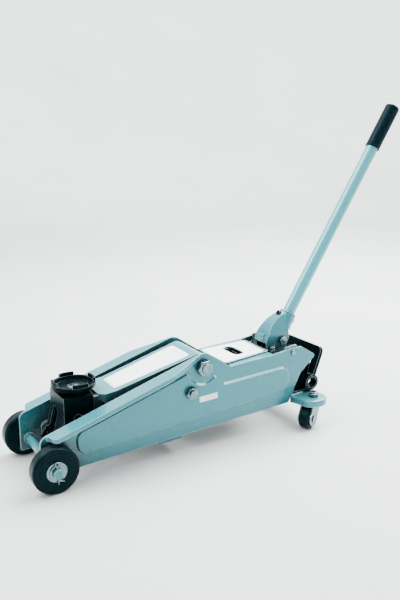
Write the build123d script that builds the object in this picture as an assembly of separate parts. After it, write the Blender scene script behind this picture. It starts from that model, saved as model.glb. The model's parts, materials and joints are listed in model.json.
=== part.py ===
"""Hydraulic trolley jack with a rear foot pedal, every piece a solid of its own, in millimetres with +Z up.

The chassis is drawn level, x = 0 at the front axle and +X to the rear, then tipped about the axle to its
stance on the rear casters. Casters, caster plate, saddle and saddle bracket are drawn on the floor's axes.
Left is the -Y side.
"""
import os
from math import atan2, cos, degrees, hypot, radians, sin, sqrt, tan

from build123d import *

# Fits
running = 0.06
snug = 0.05
air = 0.4

# Stance
stance_tilt = 3.4

# Front wheels and axle
wheel_radius = 39.0
wheel_width = 25.0
wheel_gap = 7.7
wheel_shoulder = 5.0
face_groove = 32.0
hub_radius = 17.0
hub_depth = 5.0
hub_proud = 0.3
bush_radius = 12.0
axle_radius = 8.0
axle_end = 9.0
collar_radius = 10.5
washer_radius = 12.5
washer_thickness = 2.0
split_pin_radius = 1.5

# Side plates
plate_outer = 60.0
plate_thickness = 3.5
plate_bottom = 17.5
plate_front = -17.0
slope_start = 88.2
slope_angle = 14.14
deck_height = 124.0
hump_radius = 25.0
panel_depth = 4.0
panel_bevel = 40.0
panel_front = 45.8
panel_rear = 483.4
panel_low = 20.0
panel_rise = 7.5
panel_top = 20.5
panel_shelf = 27.8
boss_round = 29.5
wing_width = 25.0
wing_lip = 8.0
wing_corner = 220.0
ledge_inner = 27.0
cover_sheet = 3.0
cover_front = 347.0
cover_rear = 450.0
slot_x = 397.0
slot_y = 2.0
slot_length = 52.0
slot_width = 21.0
member_front = 193.0
member_rear = 245.0
member_low = 10.5
member_top = 34.0

# Lift linkage
lift_x = 293.0
lift_z = 136.0
lift_pin_radius = 9.0
rod_dx = -30.0
rod_dz = -40.0
rod_pin_radius = 7.0
saddle_pin_x = 62.0
saddle_pin_z = 93.0
saddle_pin_radius = 7.0
lower_pin_radius = 6.0
rod_inner = 46.0
rod_thickness = 6.0
arm_sheet = 4.0
arm_rear_half = 44.0
arm_front_half = 37.0
arm_nose = 104.0
arm_bend_x = 136.0
arm_bend_z = 124.6
arm_end = 20.0
arm_crest = 24.9
cheek_gap = 3.0
cheek_thickness = 6.0
lug_inner = 16.0
lug_thickness = 8.0

# Saddle and bracket, on the floor's axes
bracket_top = 134.0
bracket_front = 35.0
bracket_rear = 88.0
bracket_half = 35.0
bracket_sheet = 4.0
arch_half = 12.0
arch_shift = 12.0
arch_foot = 66.0
arch_top = 107.0
saddle_x = 65.3
saddle_radius = 38.0
saddle_seat = 7.0
saddle_rim = 14.0
saddle_lug = 20.0
saddle_recess = 2.8
stem_radius = 10.0

# Hydraulic unit
ram_drop = 60.0
ram_swing = 23.0
ram_radius = 14.0
piston_radius = 18.0
cross_pin_radius = 7.0
reservoir_radius = 33.0
reservoir_front = 348.0
block_front = 408.0
block_rear = 458.0
block_half = 34.0
block_bottom = 42.0
block_gap = 6.0
gland_length = 8.0

# Handle and socket
socket_x = 499.0
socket_z = 133.0
socket_pin_radius = 5.0
socket_flats = 14.0
handle_angle = 54.5
handle_radius = 12.5
handle_wall = 2.0
handle_foot = 22.0
grip_start = 443.0
grip_end = 537.0
grip_radius = 14.8
sleeve_radius = 16.8
sleeve_start = 16.0
sleeve_end = 56.0
ear_inner = 16.0
ear_thickness = 3.5
pusher_drop = 34.0
pusher_radius = 9.0
plunger_radius = 6.0
horn_inner = 9.8
tab_size = 16.0

# Casters and rear plate, on the floor's axes
stud_x = 526.0
stud_y = 83.0
stud_radius = 6.0
stud_flats = 16.0
stud_nut = 7.0
tail_top = 58.0
tail_sheet = 4.0
tail_rim = 12.0
tail_round = 25.0
tail_front = 485.0
caster_radius = 20.8
caster_width = 20.0
caster_trail = 22.0
caster_heading = 203.0
leg_round = 14.5
race_height = 8.0
fork_sheet = 3.0
rivet_radius = 4.0

# Foot pedal
pedal_x = 542.8
pedal_z = 43.9
pedal_lean = 23.4
pedal_half = 58.6
pedal_reach = 73.0
pedal_bar = 19.5
pedal_arm = 19.0
pedal_thickness = 7.0
pedal_foot = 14.0
eye_radius = 15.5
eye_length = 13.0
sleeve_outer = 12.0
sleeve_bore = 10.3
ear_reach = 46.0

# Derived places
axle_z = wheel_radius
plate_inner = plate_outer - plate_thickness
wheel_in = plate_outer + wheel_gap
wheel_out = wheel_in + wheel_width
slope = tan(radians(slope_angle))
rod_x = lift_x + rod_dx
rod_z = lift_z + rod_dz
low_x = saddle_pin_x + rod_dx
low_z = saddle_pin_z + rod_dz
ram_z = lift_z - ram_drop
cross_x = lift_x + ram_drop * tan(radians(ram_swing))
block_top = deck_height - block_gap
unit_screw_x = socket_x - 4
unit_screw_z = deck_height - 6
plunger_z = socket_z - pusher_drop + 4
cheek_outer = bracket_half - bracket_sheet - cheek_gap
cheek_inner = cheek_outer - cheek_thickness


def top_line(x):
    """Height of the side plates' sloping top edge."""
    return slope_start + slope * x


def floor_xz(x, z):
    """A chassis point (x, z) on the axes of the floor."""
    c = cos(radians(stance_tilt))
    s = sin(radians(stance_tilt))
    return x * c - (z - axle_z) * s, axle_z + x * s + (z - axle_z) * c


def blank(*corners):
    """Flat outline through (u, v, corner radius) corners."""
    face = make_face(Polyline([(u, v) for u, v, r in corners], close=True))
    for u, v, r in corners:
        if r:
            face = fillet(face.vertices().sort_by_distance((u, v, 0))[0], r)
    return face


def across(face, y_low, y_high):
    """An XZ outline made solid from y_low to y_high."""
    return Pos(0, y_high, 0) * extrude(Plane.XZ * face, y_high - y_low)


def bar_y(x, z, radius, y_low, y_high):
    """Round bar along Y."""
    return Pos(x, (y_low + y_high) / 2, z) * Rot(90, 0, 0) * Cylinder(radius, y_high - y_low)


def bar_x(y, z, radius, x_low, x_high):
    """Round bar along X."""
    return Pos((x_low + x_high) / 2, y, z) * Rot(0, 90, 0) * Cylinder(radius, x_high - x_low)


def bar_z(x, y, radius, z_low, z_high):
    """Round bar along Z."""
    return Pos(x, y, (z_low + z_high) / 2) * Cylinder(radius, z_high - z_low)


def block(x_low, x_high, y_low, y_high, z_low, z_high):
    """Plain block between its corners."""
    box = Box(x_high - x_low, y_high - y_low, z_high - z_low)
    return Pos((x_low + x_high) / 2, (y_low + y_high) / 2, (z_low + z_high) / 2) * box


def other(shape):
    """The same piece on the other side."""
    return mirror(shape, about=Plane.XZ)


def both(shape):
    """The piece and its mirror image as two solids."""
    return Compound(children=[shape.solid(), other(shape).solid()])


def hexagon(flats, length, bore):
    """Hexagon nut along Z from 0, its corners eased on the outer face."""
    nut = extrude(RegularPolygon(flats / sqrt(3), 6), length)
    cone = Pos(0, 0, length / 2) * Cone(flats / 2 + length * 1.35, flats / 2 - length * 0.05, length)
    return nut & cone - Pos(0, 0, length / 2) * Cylinder(bore, length)


def nut_left(x, z, y, flats, length, bore):
    """Hexagon nut on the left, its seat at -y."""
    return Pos(x, -y, z) * Rot(90, 0, 0) * hexagon(flats, length, bore)


def split_pin(reach, leg):
    """Split pin down Z through a bar of the radius reach: eye above the bar, two parted legs below it."""
    r = split_pin_radius
    eye = 2 * r
    pin = Pos(0, 0, reach + eye + r) * Rot(90, 0, 0) * Torus(eye, r * 0.8)
    pin += bar_z(0, 0, r, -reach - r, reach + r)
    for spread, share in ((6, 0.6), (-68, 1)):
        foot = Pos(0, 0, -reach - r) * Rot(0, spread, 0) * Pos(0, 0, -leg * share / 2)
        pin += foot * Cylinder(r * 0.7, leg * share)
    return pin


def coil(x_low, x_high, turns, radius, wire, y, z, stub):
    """Wire spring along X wound from half-turn arcs, with a stub at each end; prints its least self gap."""
    step = (x_high - x_low) / (2 * turns)
    reach = hypot(2 * radius, step) / 2
    points = [Vector(x_low, y - radius, z)]
    edges = [Edge.make_line(points[0] - Vector(0, 0, stub), points[0])]
    for k in range(2 * turns):
        side = 1 if k % 2 == 0 else -1
        start = points[-1]
        end = Vector(x_low + (k + 1) * step, y + side * radius, z)
        middle = Vector((start.X + end.X) / 2, y, z + side * reach)
        edges.append(Edge.make_three_point_arc(start, middle, end))
        points.append(end)
    edges.append(Edge.make_line(points[-1], points[-1] + Vector(0, 0, stub)))
    path = Wire(edges)
    spots = [edge @ (i / 8) for edge in edges[1:-1] for i in range(8)]
    near = min((spots[i] - spots[j]).length for i in range(len(spots)) for j in range(i + 9, len(spots)))
    print("coil least self gap", round(near - 2 * wire, 3))
    return sweep(Plane(origin=path @ 0, z_dir=path % 0) * Circle(wire), path=path)


pieces = {}
standing = {}


def keep(name, shape):
    """Keep a chassis piece."""
    pieces[name] = shape


def keep_floor(name, shape):
    """Keep a piece drawn on the floor's axes."""
    standing[name] = shape


# Side plates
plate_face = blank(
    (plate_front, plate_bottom, 3),
    (482, plate_bottom, 4),
    (512, 72, 30),
    (551, 101.5, 5),
    (516, deck_height + 2, 4),
    (486, deck_height + 3, 0),
    (452, deck_height, 0),
    (350.4, deck_height, 6),
    (299.4, top_line(299.4), hump_radius),
    (plate_front + 4.5, top_line(plate_front + 4.5), 14),
)
side_plate = across(plate_face, -plate_outer, -plate_inner)
panel_end = deck_height - panel_shelf - plate_bottom - panel_low - panel_rise
panel_face = blank(
    (panel_front, plate_bottom + panel_low, 18),
    (panel_rear, plate_bottom + panel_low + panel_rise, 0.43 * panel_end),
    (panel_rear, deck_height - panel_shelf, 0.39 * panel_end),
    (lift_x + 43, deck_height - panel_shelf, 6),
    (lift_x + 5, lift_z - 2, 0),
    (lift_x - 23, top_line(lift_x - 23) - panel_top, 0),
    (panel_front, top_line(panel_front) - panel_top, 18),
)
panel_face = panel_face - Pos(lift_x, lift_z) * Circle(boss_round)
boss_ends = [v for v in panel_face.vertices() if abs(hypot(v.X - lift_x, v.Y - lift_z) - boss_round) < 0.01]
panel_face = fillet(boss_ends, 5)
panel = Pos(0, -plate_outer, 0) * extrude(Plane.XZ * panel_face, panel_depth, taper=panel_bevel)
hollow_face = offset(panel_face, -1.6)
hollow = Pos(0, -plate_inner, 0) * extrude(Plane.XZ * hollow_face, panel_depth, taper=panel_bevel)
wing_out = plate_outer + wing_width
wing_face = blank(
    (-4, -plate_outer + 1, 0),
    (0, -plate_outer - 3, 5),
    (6.5, -wing_out, 7),
    (wing_corner, -wing_out, 50),
    (lift_x - 3, -plate_outer + 1, 0),
)
wing_rim = wing_face - offset(wing_face, -plate_thickness)


def slope_slab(depth):
    """Slab under the sloping top edge, of the given upright depth."""
    line = [(-30, 0), (330, 0), (330, -depth), (-30, -depth)]
    outline = Polyline([(x, top_line(x) + d) for x, d in line], close=True)
    return across(make_face(outline), -wing_out - 5, -40)


wing = extrude(wing_face, 200) & slope_slab(plate_thickness)
wing += extrude(wing_rim, 200) & slope_slab(wing_lip)
ledge_face = blank(
    (353, -plate_inner - 1, 0),
    (450, -plate_inner - 1, 0),
    (446, -ledge_inner, 6),
    (357, -ledge_inner, 6),
)
ledge = Pos(0, 0, deck_height - plate_thickness) * extrude(ledge_face, plate_thickness)
side_plate = side_plate + panel - hollow + wing + ledge
side_plate -= bar_y(0, axle_z, axle_radius + snug, -70, -50)
side_plate -= bar_y(lift_x, lift_z, lift_pin_radius + snug, -70, -50)
side_plate -= bar_y(rod_x, rod_z, rod_pin_radius + snug, -70, -50)
side_plate -= bar_y(unit_screw_x, unit_screw_z, 3 + snug, -70, -50)
cover_screw_spots = [(367, -40), (436, -31)]
for x, y in cover_screw_spots:
    side_plate -= bar_z(x, y, 2.5 + snug, deck_height - 10, deck_height + 1)
keep("side_plate_left", side_plate)
keep("side_plate_right", other(side_plate))

# Front axle, collars, wheels
axle_half = wheel_out + axle_end
washer_y = wheel_out + hub_proud + air
pin_y = washer_y + washer_thickness + split_pin_radius + 0.2
axle = bar_y(0, axle_z, axle_radius, -axle_half, axle_half)
axle = chamfer(axle.edges().filter_by(GeomType.CIRCLE), 1)
for side in (-1, 1):
    axle -= bar_z(0, side * pin_y, split_pin_radius + snug, 0, 100)
keep("front_axle", axle)
collar = bar_y(0, axle_z, collar_radius, -plate_inner, -plate_inner + 6) - bar_y(0, axle_z, axle_radius + snug, -70, -40)
spacer = bar_y(0, axle_z, 13, -wheel_in + air, -plate_outer) - bar_y(0, axle_z, axle_radius + snug, -80, -40)
collars = [collar.solid(), other(collar).solid(), spacer.solid(), other(spacer).solid()]
keep("axle_collars", Compound(children=collars))
hub_face_y = wheel_out - hub_depth
wheel_profile = blank(
    (bush_radius + snug, wheel_in, 0),
    (wheel_radius, wheel_in, wheel_shoulder),
    (wheel_radius, wheel_out, wheel_shoulder),
    (face_groove + 1.5, wheel_out, 0),
    (face_groove + 0.5, wheel_out - 1, 0),
    (face_groove - 0.5, wheel_out - 1, 0),
    (face_groove - 1.5, wheel_out, 0),
    (hub_radius + snug, wheel_out, 1),
    (hub_radius + snug, hub_face_y, 0),
    (bush_radius + snug, hub_face_y, 0),
)


def turned_y(face, z):
    """Turn an outline of (radius, distance to the left) about the axis along Y at the height z."""
    ring = revolve(Plane.XZ * face, Axis.Z)
    return Pos(0, 0, z) * Rot(90, 0, 0) * ring


wheel = turned_y(wheel_profile, axle_z)
hub_profile = blank(
    (axle_radius + running, wheel_in + 0.3, 0),
    (bush_radius, wheel_in + 0.3, 0),
    (bush_radius, hub_face_y, 0),
    (hub_radius, hub_face_y, 0),
    (hub_radius, wheel_out + hub_proud, 0.8),
    (axle_radius + running, wheel_out + hub_proud, 0),
)
hub = turned_y(hub_profile, axle_z)
keep("front_wheel_left", wheel)
keep("front_wheel_right", other(wheel))
keep("wheel_hub_left", hub)
keep("wheel_hub_right", other(hub))
washer = bar_y(0, axle_z, washer_radius, -washer_y - washer_thickness, -washer_y)
washer -= bar_y(0, axle_z, axle_radius + snug, -110, -70)
keep("wheel_washers", both(washer))
split = Pos(0, -pin_y, axle_z) * split_pin(axle_radius + 3, 10)
keep("wheel_split_pins", both(split))

# Lift arm
arm_rear = lift_x + arm_end
arm_plan = blank(
    (arm_nose, -arm_front_half + 10, 3),
    (arm_nose + 10, -arm_front_half, 4),
    (arm_bend_x + 4, -arm_front_half, 0),
    (lift_x - 1, -arm_rear_half, 0),
    (arm_rear + 7, -arm_rear_half, 0),
    (arm_rear + 7, arm_rear_half, 0),
    (lift_x - 1, arm_rear_half, 0),
    (arm_bend_x + 4, arm_front_half, 0),
    (arm_nose + 10, arm_front_half, 4),
    (arm_nose, arm_front_half - 10, 3),
)
arm_side = blank(
    (arm_nose - 4, arm_bend_z - 2, 0),
    (arm_bend_x, arm_bend_z, 8),
    (arm_rear, lift_z + arm_crest, 19),
    (arm_rear, lift_z - 19, 17),
    (lift_x - 15, lift_z - 20, 20),
    (arm_bend_x + 14, arm_bend_z - 25.6, 30),
    (arm_bend_x - 14, arm_bend_z - 23.6, 8),
    (arm_nose - 4, arm_bend_z - 8.6, 0),
)
arm_top_drop = blank(
    (arm_nose - 14, arm_bend_z - 2.6 - arm_sheet, 0),
    (arm_bend_x, arm_bend_z - arm_sheet, 8),
    (arm_rear - arm_sheet, lift_z + arm_crest - 0.8 - arm_sheet, 15),
    (arm_rear - arm_sheet, 0, 0),
    (arm_nose - 14, 0, 0),
)
arm_shell = extrude(arm_plan, 200) & across(arm_side, -60, 60)
arm_mouth = Pos(arm_nose - 9, 0) * Rectangle(40, 40)
arm_hollow = extrude(offset(arm_plan, -arm_sheet), 200) + extrude(arm_mouth, 200)
arm = arm_shell - (arm_hollow & across(arm_top_drop, -60, 60))
hub_tube = bar_y(lift_x, lift_z, 17, -arm_rear_half + 1, arm_rear_half - 1)
cheek_face = blank(
    (saddle_pin_x - 15, saddle_pin_z - 15, 14.5),
    (saddle_pin_x - 15, saddle_pin_z + 15, 14.5),
    (arm_nose - 12, arm_bend_z - 5.1, 10),
    (arm_bend_x, arm_bend_z - 2.1, 0),
    (arm_bend_x + 50, arm_bend_z + 8.2, 0),
    (arm_bend_x + 50, arm_bend_z - 10.6, 6),
    (arm_bend_x + 14, arm_bend_z - 22.6, 20),
    (saddle_pin_x + 18, saddle_pin_z - 15, 25),
)
cheek = across(cheek_face, -cheek_outer, -cheek_inner)
saddle_tube = bar_y(saddle_pin_x, saddle_pin_z, 11, -cheek_inner - 1, cheek_inner + 1)
ram_lean = ram_drop / cos(radians(ram_swing))
slot_low = ram_lean + 0.5
slot_half = cross_pin_radius + 0.9
slot_high = ram_drop - 0.5
lug_face = Pos(0, -ram_lean / 2) * Rectangle(2 * slot_half + 17, ram_lean)
lug_face += Pos(0, -ram_lean) * Circle(slot_half + 8.5)
lug_face += Circle(17)
lug_slot = SlotCenterToCenter(slot_low - slot_high, 2 * slot_half)
lug_face -= Pos(0, -(slot_high + slot_low) / 2) * Rot(0, 0, 90) * lug_slot
lug = across(lug_face, -lug_inner - lug_thickness, -lug_inner)
lug = Pos(lift_x, 0, lift_z) * Rot(0, -ram_swing, 0) * lug
arm = arm + hub_tube + saddle_tube + cheek + other(cheek) + lug + other(lug)
arm -= bar_y(lift_x, lift_z, lift_pin_radius + running, -80, 80)
arm -= bar_y(saddle_pin_x, saddle_pin_z, saddle_pin_radius + running, -80, 80)
keep("lift_arm", arm)
saddle_pin = bar_y(saddle_pin_x, saddle_pin_z, saddle_pin_radius, -bracket_half, bracket_half)
keep("saddle_pivot_pin", chamfer(saddle_pin.edges().filter_by(GeomType.CIRCLE), 1))

# Lift pivot and radius rods
bolt_out = plate_outer + 15
lift_bolt = bar_y(lift_x, lift_z, lift_pin_radius, -bolt_out, bolt_out)
keep("lift_pivot_bolt", chamfer(lift_bolt.edges().filter_by(GeomType.CIRCLE), 1.2))
lift_bush = bar_y(lift_x, lift_z, 14, -plate_inner, -arm_rear_half - air)
lift_bush -= bar_y(lift_x, lift_z, lift_pin_radius + snug, -80, 0)
keep("lift_pivot_bushes", both(lift_bush))
keep("lift_pivot_nuts", both(nut_left(lift_x, lift_z, plate_outer, 27, 12, lift_pin_radius + snug)))
rod_outer = rod_inner + rod_thickness
rod_run = hypot(rod_x - low_x, rod_z - low_z)
rod_tilt = degrees(atan2(rod_z - low_z, rod_x - low_x))
rod_face = Pos(rod_run / 2, 0) * Rectangle(rod_run, 18) + Circle(11.5) + Pos(rod_run, 0) * Circle(14)
rod_face -= Circle(lower_pin_radius + air)
rod_face -= Pos(rod_run, 0) * Circle(rod_pin_radius + running)
rod = Pos(low_x, 0, low_z) * Rot(0, -rod_tilt, 0) * across(rod_face, -rod_outer, -rod_inner)
keep("radius_rods", both(rod))
panel_outer = plate_outer + panel_depth
rod_bolt = bar_y(rod_x, rod_z, rod_pin_radius, -panel_outer - 13, -rod_inner + air)
rod_bolt += bar_y(rod_x, rod_z, 10, -panel_outer + plate_thickness, -rod_outer - air)
rod_bolt += bar_y(rod_x, rod_z, 9.5, -rod_inner + air, -rod_inner + air + 2)
keep("rod_pivot_bolts", both(rod_bolt))
keep("rod_pivot_nuts", both(nut_left(rod_x, rod_z, panel_outer, 20, 9, rod_pin_radius + snug)))

# Saddle bracket, its lower pin and the saddle, on the floor's axes
up_x, up_z = floor_xz(saddle_pin_x, saddle_pin_z)
down_x, down_z = floor_xz(low_x, low_z)
toe_x = down_x - 17
bracket_face = blank(
    (bracket_front, bracket_top, 2),
    (bracket_rear, bracket_top, 2),
    (bracket_rear, bracket_top - 24, 8),
    (down_x + 17, down_z - 8, 10),
    (down_x + 4, down_z - 12, 10),
    (toe_x - 2, down_z - 12, 3),
    (toe_x, down_z - 5, 8),
    (bracket_front - 7, down_z + 15, 30),
    (bracket_front, bracket_top - 39, 30),
)
bracket_in = bracket_half - bracket_sheet
cavity_face = blank(
    (bracket_front + bracket_sheet, bracket_top - bracket_sheet, 0),
    (bracket_rear + 40, bracket_top - bracket_sheet, 0),
    (bracket_rear + 40, 0, 0),
    (toe_x + bracket_sheet, 0, 0),
    (toe_x + bracket_sheet, down_z - 5, 8),
    (bracket_front - 7 + bracket_sheet, down_z + 15, 30),
    (bracket_front + bracket_sheet, bracket_top - 39, 30),
)
bracket_section = blank(
    (-bracket_half, 0, 0),
    (bracket_half, 0, 0),
    (bracket_half, bracket_top, 5),
    (-bracket_half, bracket_top, 5),
)
arch_near = arch_shift - arch_half
arch_far = arch_shift + arch_half
arch_face = blank(
    (-bracket_in, 0, 0),
    (bracket_in, 0, 0),
    (bracket_in, arch_foot, 0),
    (arch_far, arch_foot, 4),
    (arch_far, arch_top, 9),
    (arch_near, arch_top, 9),
    (arch_near, arch_foot, 10),
    (-bracket_in, arch_foot, 0),
)
bracket = across(bracket_face, -bracket_half, bracket_half) & extrude(Plane.YZ * bracket_section, 140)
bracket -= across(cavity_face, -bracket_in, bracket_in)
bracket -= extrude(Plane.YZ * arch_face, 60)
bracket -= bar_y(up_x, up_z, saddle_pin_radius + snug, -60, 60)
bracket -= bar_y(down_x, down_z, lower_pin_radius + snug, -60, 60)
bracket -= bar_z(saddle_x, 0, stem_radius + running, 100, 150)
keep_floor("saddle_bracket", bracket)
low_pin = bar_y(down_x, down_z, lower_pin_radius, -rod_outer - 2, rod_outer + 2)
low_pin += bar_y(down_x, down_z, 9, -rod_inner + air, -bracket_half)
low_pin += bar_y(down_x, down_z, 9, bracket_half, rod_inner - air)
keep_floor("bracket_lower_pin", low_pin)
saddle_foot = bracket_top + 0.3
saddle_profile = blank(
    (0, saddle_foot, 0),
    (27, saddle_foot, 3),
    (saddle_radius, saddle_foot + 7.5, 4),
    (saddle_radius, saddle_foot + saddle_rim, 1.5),
    (saddle_radius - 5, saddle_foot + saddle_rim, 1.5),
    (saddle_radius - 7, saddle_foot + saddle_seat, 2),
    (0, saddle_foot + saddle_seat, 0),
)
saddle = revolve(Plane.XZ * saddle_profile, Axis.Z)
crown_profile = blank(
    (saddle_radius - 5, saddle_foot + saddle_rim - 4, 0),
    (saddle_radius - 0.4, saddle_foot + saddle_rim - 4, 0),
    (saddle_radius - 0.4, saddle_foot + saddle_lug, 1.5),
    (saddle_radius - 4.5, saddle_foot + saddle_lug, 1.5),
)
crown_tooth = Rot(0, 0, -22) * revolve(Plane.XZ * crown_profile, Axis.Z, 44)
for quarter in range(4):
    saddle += Rot(0, 0, 90 * quarter) * crown_tooth
saddle += bar_z(0, 0, stem_radius, saddle_foot - 14, saddle_foot + 1)
saddle -= bar_z(0, 0, 4 + snug, saddle_foot - 20, saddle_foot + 30)
saddle -= bar_z(0, 0, 9.6, saddle_foot + saddle_seat - saddle_recess, saddle_foot + 30)
keep_floor("saddle", Pos(saddle_x, 0, 0) * saddle)
head_foot = saddle_foot + saddle_seat - saddle_recess
saddle_screw = bar_z(0, 0, 9, head_foot, head_foot + 2.5)
saddle_screw = chamfer(saddle_screw.edges().filter_by(GeomType.CIRCLE).sort_by(Axis.Z)[-1], 1)
saddle_screw += bar_z(0, 0, 4, saddle_foot - 18, head_foot + 1)
saddle_screw += bar_z(0, 0, 13, saddle_foot - 17, saddle_foot - 14)
keep_floor("saddle_screw", Pos(saddle_x, 0, 0) * saddle_screw)

# Cover and cross-member
cover_top = deck_height + cover_sheet
cover_face = blank(
    (cover_front, -48, 4),
    (cover_rear, -41, 4),
    (cover_rear, 41, 4),
    (cover_front, 48, 4),
)
cover_face -= Pos(slot_x, slot_y) * Rot(0, 0, 90) * SlotOverall(slot_length, slot_width)
cover = Pos(0, 0, deck_height) * extrude(cover_face, cover_sheet)


def sunk_head(x, y, ease):
    """Countersunk screw head flush with the cover, ease larger in radius."""
    return Pos(x, y, cover_top - 1.1) * Cone(2.4 + ease, 4.6 + ease, 2.2)


cover_screws = []
for x, y in cover_screw_spots:
    for side in (-1, 1):
        cover -= bar_z(x, side * y, 2.5 + snug, deck_height - 1, cover_top + 1) + sunk_head(x, side * y, snug)
        screw = sunk_head(x, side * y, 0) + bar_z(x, side * y, 2.5, deck_height - 4, cover_top - 1)
        cover_screws.append(screw.solid())
keep("cover_plate", cover)
keep("cover_screws", Compound(children=cover_screws))
member_face = blank(
    (member_front, member_low, 5),
    (member_rear, member_low, 5),
    (member_rear, member_top, 0),
    (member_front, member_top, 0),
)
member = across(member_face, -plate_inner, plate_inner)
member_in = plate_inner - plate_thickness
member -= block(
    member_front + plate_thickness,
    member_rear - plate_thickness,
    -member_in,
    member_in,
    member_low + plate_thickness,
    member_top + 1,
)
keep("cross_member", member)

# Hydraulic unit
ram_shift = ram_drop * 2 * tan(radians(ram_swing))
bore_rear = 440.0
reservoir = bar_x(0, ram_z, reservoir_radius, reservoir_front, block_front)
reservoir = fillet(reservoir.edges().filter_by(GeomType.CIRCLE).sort_by(Axis.X)[0], 3)
reservoir -= bar_x(0, ram_z, piston_radius + 0.3, reservoir_front - 1, block_front + 1)
plug_x = 392.0
reservoir -= bar_z(plug_x, 0, 5 + snug, ram_z + 25, ram_z + 40)
keep("reservoir", reservoir)
filler = bar_z(plug_x, 0, 5, ram_z + 26, ram_z + reservoir_radius + 1)
filler += bar_z(plug_x, 0, 8, ram_z + reservoir_radius, ram_z + reservoir_radius + 5)
keep("filler_plug", filler)
gland = extrude(RegularPolygon(26, 6), gland_length)
gland = Pos(reservoir_front - gland_length, 0, ram_z) * Rot(0, 90, 0) * gland
gland -= bar_x(0, ram_z, ram_radius + running, reservoir_front - 30, reservoir_front + 30)
keep("gland_nut", gland)
cross_rear = cross_x + 11.5
ram = bar_x(0, ram_z, ram_radius, cross_rear, bore_rear - 8)
ram += bar_x(0, ram_z, piston_radius, bore_rear - 20, bore_rear - 4)
keep("ram", ram)
cross_head = block(cross_x - 10, cross_rear, -lug_inner + air, lug_inner - air, ram_z - 14, ram_z + 14)
cross_head = fillet(cross_head.edges().filter_by(Axis.Y), 4)
cross_head -= bar_y(cross_x, ram_z, cross_pin_radius + snug, -30, 30)
keep("crosshead", cross_head)
keep("crosshead_pin", bar_y(cross_x, ram_z, cross_pin_radius, -rod_inner + 0.6, rod_inner - 0.6))
pump_block = block(block_front, block_rear, -block_half, block_half, block_bottom, block_top)
pump_block = fillet(pump_block.edges().filter_by(Axis.X), 6)
horn_face = blank(
    (block_rear - 2, block_top - 20, 0),
    (block_rear + 8, block_top - 10, 0),
    (socket_x - 6, socket_z - 13, 0),
    (socket_x + 13, socket_z - 13, 12),
    (socket_x + 13, socket_z + 13, 12.5),
    (socket_x - 10, socket_z + 13, 8),
    (block_rear + 14, block_top, 8),
    (block_rear - 2, block_top - 1, 0),
)
horn = across(horn_face, -ear_inner + 0.8, -horn_inner)
pump_block += horn + other(horn)
pump_block -= bar_x(0, ram_z, piston_radius + 0.3, block_front - 1, bore_rear)
pump_block -= bar_x(0, plunger_z, plunger_radius + running, block_front + 2, block_rear + 1)
valve_y = 20.0
valve_z = 62.0
pump_block -= bar_x(valve_y, valve_z, 5 + running, block_rear - 12, block_rear + 1)
peg_x = 430.0
for side in (-1, 1):
    pump_block += bar_y(peg_x, ram_z, 4, *sorted((side * (block_half - 1), side * (block_half + 12))))
pump_block -= bar_y(socket_x, socket_z, socket_pin_radius + snug, -60, 60)
keep("pump_block", pump_block)
coil_y = block_half + 6
return_coil = coil(cross_x + cross_pin_radius + 1.4, peg_x - 5.4, 8, 4.5, 1.0, -coil_y, ram_z, 3)
keep("return_springs", both(return_coil))
strap_low = deck_height - 28
strap_high = deck_height + 7
bracket_plate = blank(
    (block_rear - 4, strap_low, 3),
    (unit_screw_x + 13, strap_low, 3),
    (unit_screw_x + 13, strap_high, 3),
    (unit_screw_x - 15, strap_high, 3),
    (unit_screw_x - 19, deck_height - 8, 4),
    (block_rear - 4, deck_height - 8, 2),
)
unit_bracket = across(bracket_plate, -plate_inner, -plate_inner + 4)
unit_bracket += block(block_rear - 12, block_rear, -plate_inner, -block_half, strap_low + 2, deck_height - 10)
unit_bracket -= bar_y(unit_screw_x, unit_screw_z, 3 + snug, -70, -40)
keep("unit_brackets", both(unit_bracket))
unit_screw = bar_y(unit_screw_x, unit_screw_z, 3, -plate_outer - 1, -plate_inner + 6)
unit_head = bar_y(unit_screw_x, unit_screw_z, 5.5, -plate_outer - 3.2, -plate_outer)
unit_screw += fillet(unit_head.edges().filter_by(GeomType.CIRCLE).sort_by(Axis.Y)[0], 1.5)
keep("unit_screws", both(unit_screw))

# Socket, pump pusher, plunger and release valve
axis_x = cos(radians(handle_angle))
axis_z = sin(radians(handle_angle))
along = Plane(origin=(socket_x, 0, socket_z), x_dir=(0, 1, 0), z_dir=(axis_x, 0, axis_z))
ear_outer = ear_inner + ear_thickness
ear_face = blank(
    (socket_x - 38, socket_z, 3),
    (socket_x - 35, socket_z - 16, 5),
    (socket_x - 17, socket_z - 23, 6),
    (socket_x - 13, socket_z - 45, 9),
    (socket_x + 9, socket_z - 45, 9),
    (socket_x + 11, socket_z - 11, 5),
    (socket_x + 18, socket_z + 1, 4),
    (socket_x + 17, socket_z + 16, 12),
    (socket_x + 26, socket_z + 34, 0),
    (socket_x + 10, socket_z + 44, 0),
    (socket_x - 22, socket_z + 27, 0),
)
ear = across(ear_face, -ear_outer, -ear_inner)
hood_arc = ThreePointArc(
    (socket_x - 38, socket_z),
    (socket_x - 21, socket_z + 30),
    (socket_x + 18, socket_z + 50),
)
hood_back = Polyline(
    (socket_x + 18, socket_z + 50),
    (socket_x + 22, socket_z + 32),
    (socket_x + 12, socket_z + 16),
    (socket_x - 20, socket_z),
    (socket_x - 38, socket_z),
)
hood_face = make_face([hood_arc, hood_back])
hood_inner_arc = ThreePointArc(
    (socket_x - 35, socket_z - 5),
    (socket_x - 18.6, socket_z + 27.6),
    (socket_x + 18, socket_z + 46),
)
hood_inner_back = Polyline(
    (socket_x + 18, socket_z + 46),
    (socket_x + 40, socket_z + 30),
    (socket_x + 20, socket_z - 5),
    (socket_x - 35, socket_z - 5),
)
hood_hollow_face = make_face([hood_inner_arc, hood_inner_back])


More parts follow.
